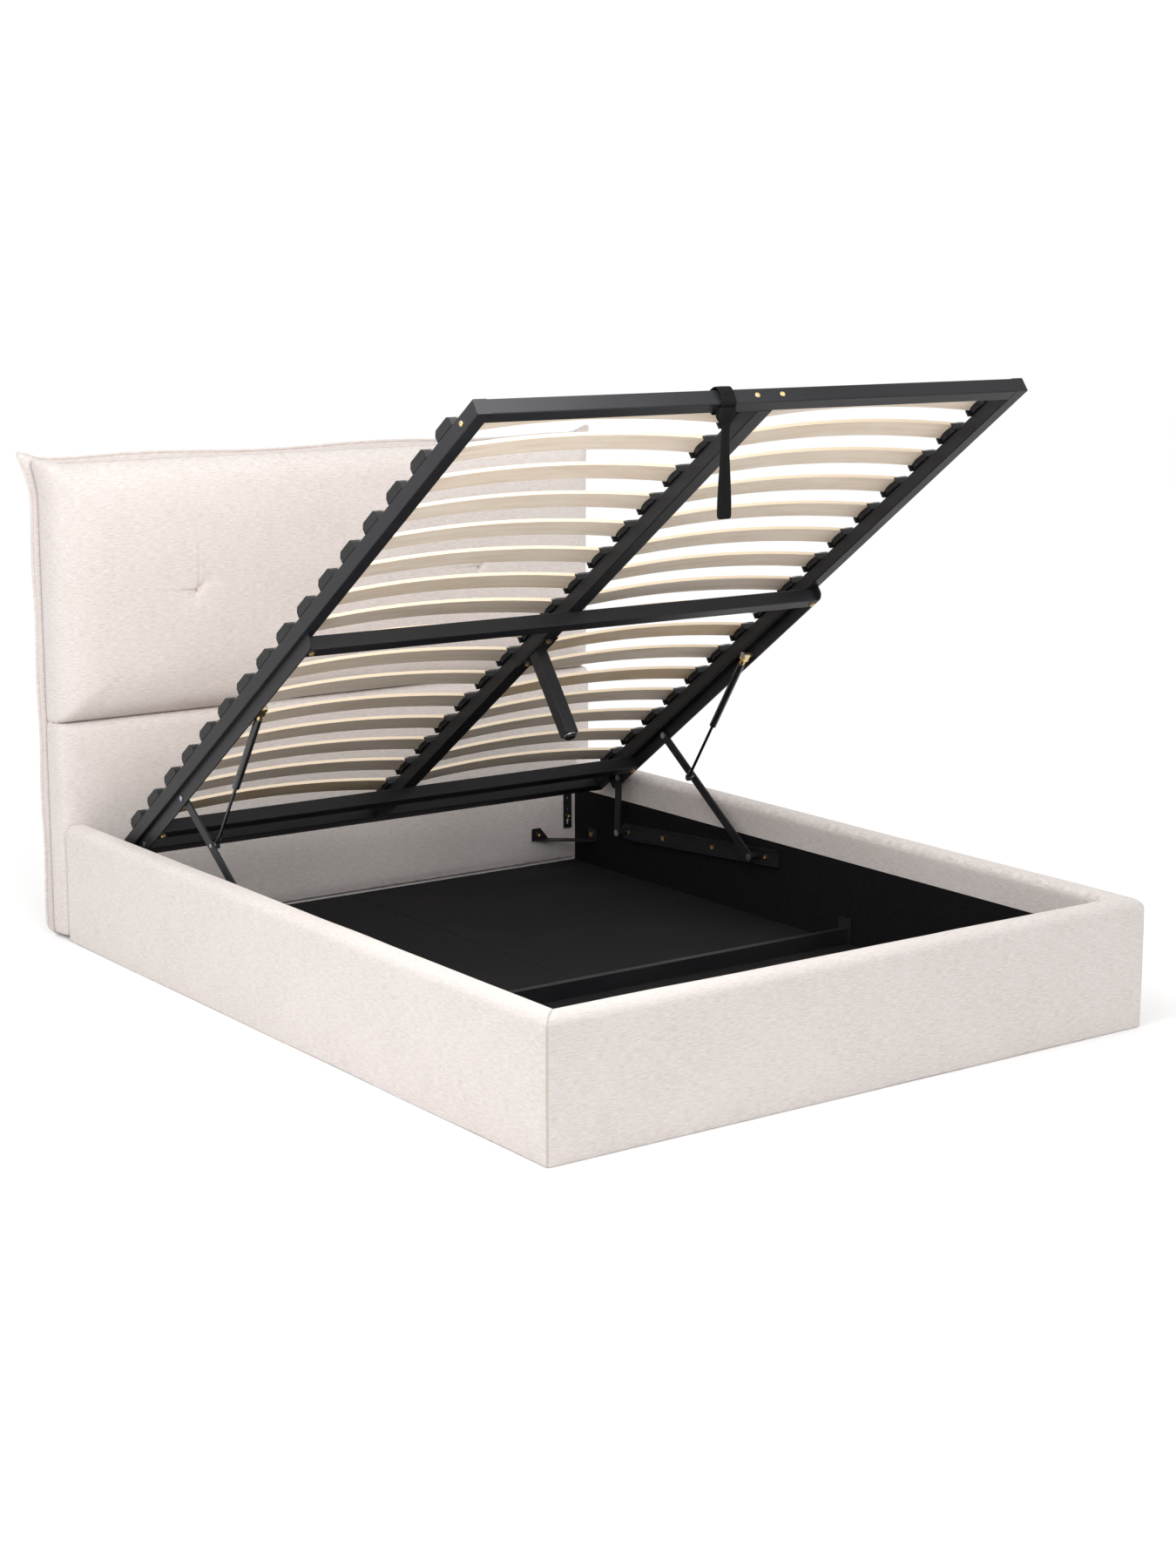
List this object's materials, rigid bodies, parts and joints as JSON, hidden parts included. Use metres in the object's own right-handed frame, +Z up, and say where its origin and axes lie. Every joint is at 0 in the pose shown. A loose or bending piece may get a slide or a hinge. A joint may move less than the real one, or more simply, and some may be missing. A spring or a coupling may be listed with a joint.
{
  "type": "ottoman bed",
  "caption": "Upholstered storage bed with a padded headboard and a slatted platform lifted on four-bar links and gas struts.",
  "frame": {"origin": "on the floor, under the middle of the whole bed's box", "axes": "+X across the bed, +Y towards the headboard, +Z up; the platform stands open as at joint value 0"},
  "size_m": [1.76, 2.227, 1.4549],
  "materials": {
    "linen": "cream linen weave over padding",
    "lining": "black lining cloth",
    "floor": "board under black non-woven cloth",
    "board": "plain timber and board, covered",
    "frame_steel": "satin black powder coat",
    "zinc": "bright zinc",
    "yellow_zinc": "yellow zinc",
    "slat": "bare birch plywood",
    "cap": "black moulded plastic",
    "webbing": "black woven webbing",
    "strut_black": "gloss black",
    "rod": "polished rod"
  },
  "bodies": {
    "base": {"side_board_right": "board", "side_board_left": "board", "side_cover_right": "linen", "side_cover_left": "linen", "foot_board": "board", "foot_cover": "linen", "side_linings": "lining", "foot_lining": "lining", "floor_panel_right": "floor", "floor_panel_left": "floor", "floor_rail": "frame_steel", "floor_rail_plates": "frame_steel", "base_bracket_right": "frame_steel", "base_bracket_left": "frame_steel", "base_bolts": "yellow_zinc", "base_pivot_pins": "zinc", "corner_plates": "frame_steel", "corner_braces": "frame_steel", "headboard_board": "board", "headboard_cushion": "linen", "headboard_lower_pad": "linen", "headboard_back_cover": "linen", "tuft_buttons": "linen"},
    "rear_links": {"rear_link_right": "frame_steel", "rear_link_left": "frame_steel"},
    "platform": {"side_rail_right": "frame_steel", "side_rail_left": "frame_steel", "head_bar": "frame_steel", "foot_bar": "frame_steel", "centre_rail": "frame_steel", "middle_cross_bar": "frame_steel", "rear_cross_bar": "frame_steel", "lift_bracket_right": "frame_steel", "lift_bracket_left": "frame_steel", "slats_right": "slat", "slats_left": "slat", "rail_caps_right": "cap", "rail_caps_left": "cap", "centre_caps": "cap", "leg_plate": "frame_steel", "centre_leg": "frame_steel", "leg_nut": "cap", "platform_bolts": "yellow_zinc", "platform_screws": "yellow_zinc", "platform_pivot_pins": "zinc", "mattress_retainers": "frame_steel", "strap_loop": "webbing"},
    "front_links": {"front_link_right": "frame_steel", "front_link_left": "frame_steel", "front_link_studs": "zinc"},
    "strut_cylinders": {"strut_cylinder_right": "strut_black", "strut_cylinder_left": "strut_black", "strut_clevises": "yellow_zinc"},
    "strut_rods": {"strut_rod_right": "rod", "strut_rod_left": "rod", "strut_eyes": "strut_black"},
    "levelling_foot": {"foot_pad": "cap", "foot_stem": "zinc"},
    "pull_strap": {"strap_tail": "webbing"}
  },
  "joints": [
    {"name": "lift_hinge", "type": "hinge", "parent": "base", "child": "rear_links", "pos_m": [0, 0.7635, 0.133], "axis": [1, 0, 0], "range_deg": [-55.65, 0], "stiffness_Nm_per_rad": 116.8, "springref_deg": 96.83},
    {"name": "platform_hinge", "type": "hinge", "parent": "rear_links", "child": "platform", "pos_m": [0, 0.75865, 0.2916], "axis": [1, 0, 0], "range_deg": [0, 91.66]},
    {"name": "front_link_hinge", "type": "hinge", "parent": "base", "child": "front_links", "pos_m": [0, 0.1785, 0.1715], "axis": [1, 0, 0], "range_deg": [-29.05, 0]},
    {"name": "strut_hinge", "type": "hinge", "parent": "platform", "child": "strut_cylinders", "pos_m": [0, 0.18506, 0.70834], "axis": [1, 0, 0], "range_deg": [-0.01, 17.04]},
    {"name": "rod_slide", "type": "slide", "parent": "strut_cylinders", "child": "strut_rods", "axis": [0, 0.548, -0.8365], "range_m": [-0.13733, 0]},
    {"name": "foot_screw", "type": "slide", "parent": "platform", "child": "levelling_foot", "axis": [0, 0.5878, 0.809], "range_m": [0, 0.0015]},
    {"name": "strap_swing", "type": "hinge", "parent": "platform", "child": "pull_strap", "pos_m": [-0.115, -0.76333, 1.40628], "axis": [1, 0, 0], "range_deg": [-0.01, 10.01]}
  ],
  "couplings": [
    {"joint": "platform_hinge", "follows": "lift_hinge", "ratio": -1.6469},
    {"joint": "front_link_hinge", "follows": "lift_hinge", "ratio": 0.52191},
    {"joint": "strut_hinge", "follows": "lift_hinge", "ratio": -0.306},
    {"joint": "rod_slide", "follows": "lift_hinge", "m_per_rad": 0.1413},
    {"joint": "strap_swing", "follows": "lift_hinge", "ratio": -0.17971}
  ]
}
